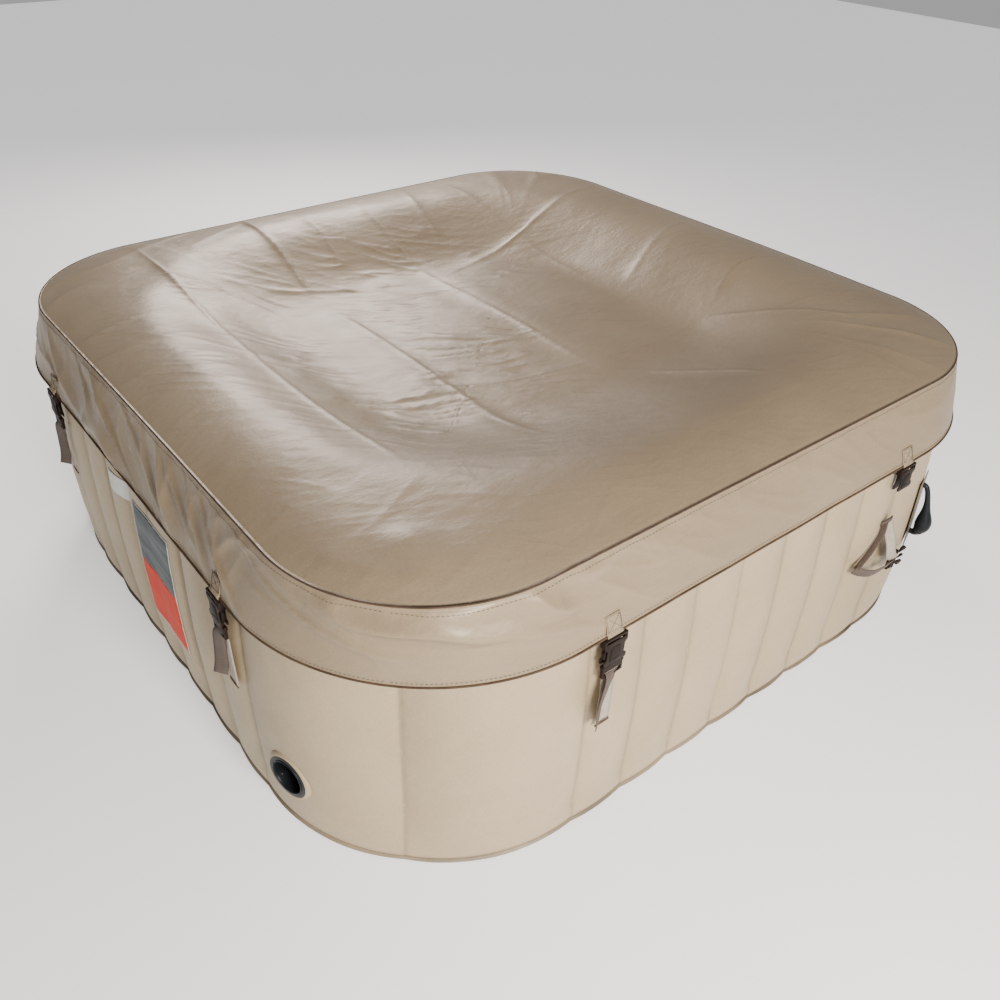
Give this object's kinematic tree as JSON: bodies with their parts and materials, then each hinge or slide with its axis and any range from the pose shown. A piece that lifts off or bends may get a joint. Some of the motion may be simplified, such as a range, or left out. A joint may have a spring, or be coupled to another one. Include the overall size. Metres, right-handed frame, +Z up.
{
  "type": "inflatable hot tub",
  "caption": "Square inflatable hot tub with ribbed vinyl walls, built-in pump, heater and blower, and a fitted fabric cover that buckles to the wall.",
  "frame": {"origin": "middle of the footprint on the ground", "axes": "+Z up; the equipment bay is in the +X -Y corner, and the sides run along X and Y"},
  "size_m": [1.865, 1.865, 0.668],
  "materials": {
    "wall_vinyl": "satin",
    "liner_vinyl": "satin",
    "base_vinyl": "satin",
    "cover_fabric": "satin",
    "binding": "matte",
    "webbing": "matte",
    "buckle_plastic": "satin",
    "black_plastic": "satin",
    "grey_plastic": "satin",
    "panel_plastic": "satin",
    "white_pipe": "satin",
    "button_rubber": "matte",
    "display_glass": "gloss",
    "board": "satin",
    "steel": "satin",
    "filter_media": "matte",
    "label": "satin"
  },
  "bodies": {
    "tub": {"base_panel": "base_vinyl", "floor_liner": "liner_vinyl", "outer_wall": "wall_vinyl", "inner_wall": "liner_vinyl", "bubble_channel": "liner_vinyl", "wall_baffles": "liner_vinyl", "equipment_tray": "grey_plastic", "equipment_lid": "panel_plastic", "power_gland": "black_plastic", "panel_bezel": "black_plastic", "display_window": "display_glass", "circuit_board": "board", "pump_housing": "black_plastic", "pump_motor": "steel", "heater_tube": "steel", "heater_element": "steel", "supply_pipe": "white_pipe", "return_pipe": "white_pipe", "suction_pipe": "white_pipe", "return_nozzle": "grey_plastic", "filter_housing": "grey_plastic", "blower_housing": "black_plastic", "blower_motor": "steel", "air_pipe": "white_pipe", "drain_flange": "black_plastic", "drain_body": "black_plastic", "air_valve_body": "grey_plastic", "carry_handles": "black_plastic", "handle_patches": "base_vinyl", "label_sheets": "label", "wall_webbing": "webbing"},
    "cover": {"cover_top": "cover_fabric", "cover_skirt": "cover_fabric", "seam_piping": "binding", "hem_binding": "binding", "cover_straps": "webbing", "buckle_sockets": "buckle_plastic"},
    "plug_1": {"buckle_plug_1": "buckle_plastic"},
    "plug_2": {"buckle_plug_2": "buckle_plastic"},
    "plug_3": {"buckle_plug_3": "buckle_plastic"},
    "plug_4": {"buckle_plug_4": "buckle_plastic"},
    "plug_5": {"buckle_plug_5": "buckle_plastic"},
    "plug_6": {"buckle_plug_6": "buckle_plastic"},
    "plug_7": {"buckle_plug_7": "buckle_plastic"},
    "plug_8": {"buckle_plug_8": "buckle_plastic"},
    "button_power": {"button_power": "button_rubber"},
    "button_heat": {"button_heat": "button_rubber"},
    "button_bubble": {"button_bubble": "button_rubber"},
    "button_filter": {"button_filter": "button_rubber"},
    "button_warmer": {"button_warmer": "button_rubber"},
    "button_cooler": {"button_cooler": "button_rubber"},
    "impeller": {"pump_impeller": "black_plastic"},
    "fan": {"blower_fan": "grey_plastic"},
    "filter": {"filter_cartridge": "filter_media", "filter_end_cap": "grey_plastic"},
    "drain_plug": {"drain_stopper": "button_rubber"},
    "drain_knob": {"drain_cap": "black_plastic"},
    "valve_stem": {"air_valve_stem": "grey_plastic"},
    "valve_cap": {"air_valve_cap": "grey_plastic"}
  },
  "joints": [
    {"name": "cover_lift", "type": "slide", "parent": "tub", "child": "cover", "axis": [0, 0, 1], "range_m": [0, 0.6]},
    {"name": "plug_1_release", "type": "slide", "parent": "tub", "child": "plug_1", "axis": [0, 0, -1], "range_m": [0, 0.045]},
    {"name": "plug_2_swing", "type": "hinge", "parent": "tub", "child": "plug_2", "pos_m": [0.92, 0.435, 0.352], "axis": [1, 0, 0], "range_deg": [-35, 20]},
    {"name": "plug_3_release", "type": "slide", "parent": "tub", "child": "plug_3", "axis": [0, 0, -1], "range_m": [0, 0.045]},
    {"name": "plug_4_release", "type": "slide", "parent": "tub", "child": "plug_4", "axis": [0, 0, -1], "range_m": [0, 0.045]},
    {"name": "plug_5_release", "type": "slide", "parent": "tub", "child": "plug_5", "axis": [0, 0, -1], "range_m": [0, 0.045]},
    {"name": "plug_6_release", "type": "slide", "parent": "tub", "child": "plug_6", "axis": [0, 0, -1], "range_m": [0, 0.045]},
    {"name": "plug_7_release", "type": "slide", "parent": "tub", "child": "plug_7", "axis": [0, 0, -1], "range_m": [0, 0.045]},
    {"name": "plug_8_release", "type": "slide", "parent": "tub", "child": "plug_8", "axis": [0, 0, -1], "range_m": [0, 0.045]},
    {"name": "button_power_press", "type": "slide", "parent": "tub", "child": "button_power", "axis": [0, 0, -1], "range_m": [0, 0.002], "stiffness_N_per_m": 400},
    {"name": "button_heat_press", "type": "slide", "parent": "tub", "child": "button_heat", "axis": [0, 0, -1], "range_m": [0, 0.002], "stiffness_N_per_m": 400},
    {"name": "button_bubble_press", "type": "slide", "parent": "tub", "child": "button_bubble", "axis": [0, 0, -1], "range_m": [0, 0.002], "stiffness_N_per_m": 400},
    {"name": "button_filter_press", "type": "slide", "parent": "tub", "child": "button_filter", "axis": [0, 0, -1], "range_m": [0, 0.002], "stiffness_N_per_m": 400},
    {"name": "button_warmer_press", "type": "slide", "parent": "tub", "child": "button_warmer", "axis": [0, 0, -1], "range_m": [0, 0.002], "stiffness_N_per_m": 400},
    {"name": "button_cooler_press", "type": "slide", "parent": "tub", "child": "button_cooler", "axis": [0, 0, -1], "range_m": [0, 0.002], "stiffness_N_per_m": 400},
    {"name": "impeller_spin", "type": "hinge", "parent": "tub", "child": "impeller", "pos_m": [0.69634, -0.69634, 0.15], "axis": [0, 0, 1], "continuous": true},
    {"name": "fan_spin", "type": "hinge", "parent": "tub", "child": "fan", "pos_m": [0.72109, -0.6716, 0.39], "axis": [0, 0, 1], "continuous": true},
    {"name": "filter_pull", "type": "slide", "parent": "tub", "child": "filter", "axis": [-0.7071, 0.7071, 0], "range_m": [0, 0.09]},
    {"name": "drain_plug_lift", "type": "slide", "parent": "tub", "child": "drain_plug", "axis": [0.2588, -0.9659, 0], "range_m": [0, 0.012]},
    {"name": "drain_cap_turn", "type": "hinge", "parent": "drain_plug", "child": "drain_knob", "pos_m": [0.56912, -0.85903, 0.148], "axis": [0.2588, -0.9659, 0], "range_deg": [0, 540]},
    {"name": "valve_stem_press", "type": "slide", "parent": "tub", "child": "valve_stem", "axis": [1, 0, 0], "range_m": [0, 0.006], "stiffness_N_per_m": 250},
    {"name": "valve_cap_pull", "type": "slide", "parent": "tub", "child": "valve_cap", "axis": [-1, 0, 0], "range_m": [0, 0.03]}
  ],
  "couplings": [
    {"joint": "drain_plug_lift", "follows": "drain_cap_turn", "m_per_rad": 0.00127}
  ]
}
